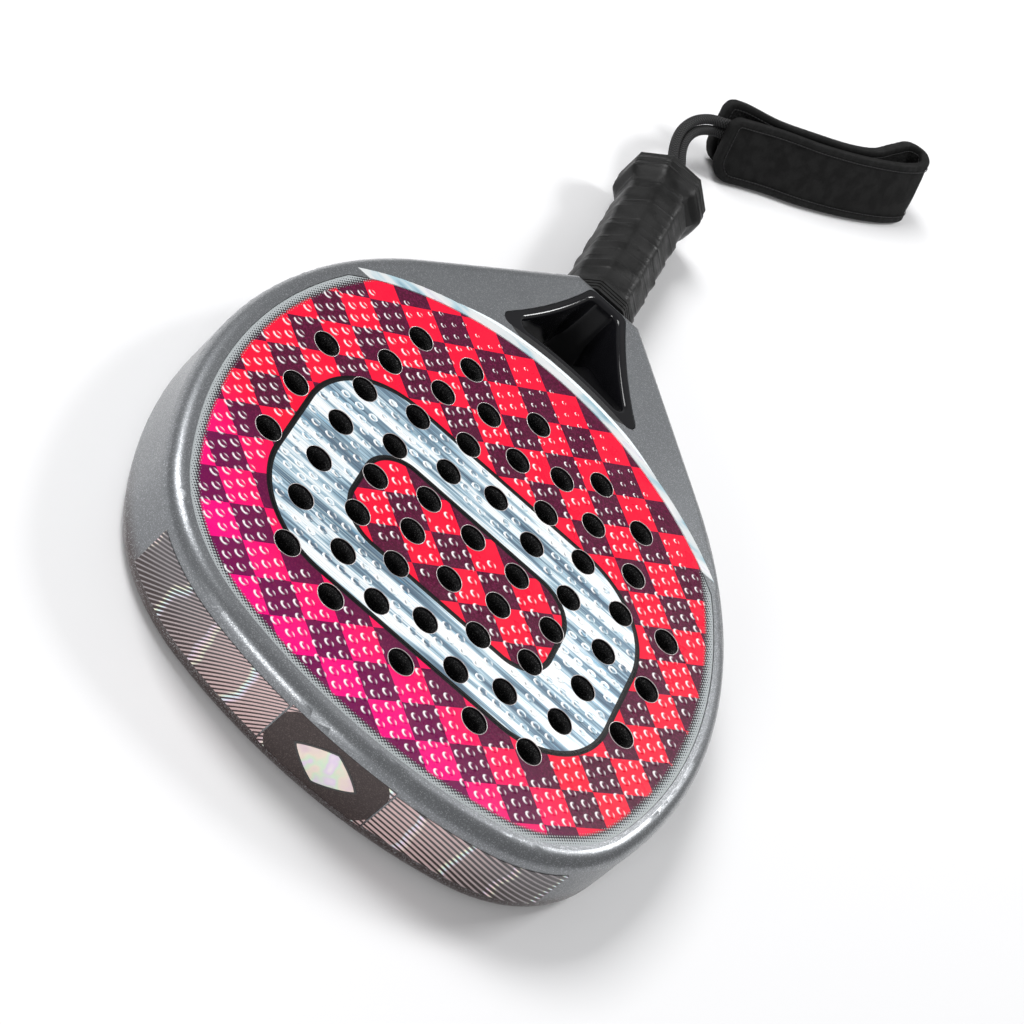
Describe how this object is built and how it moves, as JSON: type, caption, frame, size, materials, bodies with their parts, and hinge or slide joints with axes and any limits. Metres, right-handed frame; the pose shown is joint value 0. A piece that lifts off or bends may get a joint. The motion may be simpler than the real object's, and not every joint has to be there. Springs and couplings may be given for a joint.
{
  "type": "padel racket",
  "caption": "Padel racket with a perforated foam head, a throat opening, a wrapped octagonal handle and a padded wrist loop on a braided cord.",
  "frame": {"origin": "middle of the racket's footprint on the surface that its rear face lies on, wrist loop left out", "axes": "+Y from the tip of the head to the butt, +Z from the rear face to the front face, +X to the right with the handle pointing away"},
  "size_m": [0.26, 0.6353, 0.038],
  "materials": {
    "frame_lacquer": "satin metallic grey lacquer over composite",
    "liner_gloss": "high gloss black",
    "core_foam": "matt closed-cell foam",
    "face_print": "red and dark plum diamond print under clear lacquer",
    "emblem_foil": "streaked silver holographic foil",
    "side_film": "finely lined rose holographic film",
    "plate_bronze": "dark bronze lacquer",
    "handle_foam": "moulded polyurethane foam",
    "grip_wrap": "soft tacky wrap",
    "collar_rubber": "ribbed rubber",
    "cap_rubber": "satin rubber",
    "cord_braid": "round braid",
    "strap_neoprene": "knit-faced neoprene",
    "strap_fleece": "brushed loop lining",
    "strap_binding": "folded knit binding with a stitch line"
  },
  "bodies": {
    "racket": {"frame": "frame_lacquer", "throat_bridge": "frame_lacquer", "throat_liner": "liner_gloss", "foam_core": "core_foam", "front_face_sheet": "face_print", "rear_face_sheet": "face_print", "front_emblem_foil": "emblem_foil", "rear_emblem_foil": "emblem_foil", "front_bridge_band": "emblem_foil", "rear_bridge_band": "emblem_foil", "left_side_film": "side_film", "right_side_film": "side_film", "tip_plate": "plate_bronze", "front_handle_shell": "handle_foam", "rear_handle_shell": "handle_foam", "base_grip": "grip_wrap", "overgrip": "grip_wrap", "grip_collar": "collar_rubber", "butt_cap": "cap_rubber", "cord_knot": "cord_braid", "cord_in_handle": "cord_braid"},
    "cord_exit": {"cord_at_mouth": "cord_braid"},
    "wrist_loop": {"cord_strand_right": "cord_braid", "cord_strand_left": "cord_braid", "strap_end_tab": "strap_binding", "strap_cover": "strap_neoprene", "strap_lining": "strap_fleece", "strap_lower_binding": "strap_binding", "strap_upper_binding": "strap_binding"}
  },
  "joints": [
    {"name": "wrist_loop_lift", "type": "hinge", "parent": "racket", "child": "cord_exit", "pos_m": [0, 0.2275, 0.019], "axis": [1, 0, 0], "range_deg": [0, 60], "deforming": ["cord_at_mouth"]},
    {"name": "wrist_loop_swing", "type": "hinge", "parent": "cord_exit", "child": "wrist_loop", "pos_m": [0, 0.2275, 0.019], "axis": [0, 0, 1], "range_deg": [-40, 45]}
  ]
}
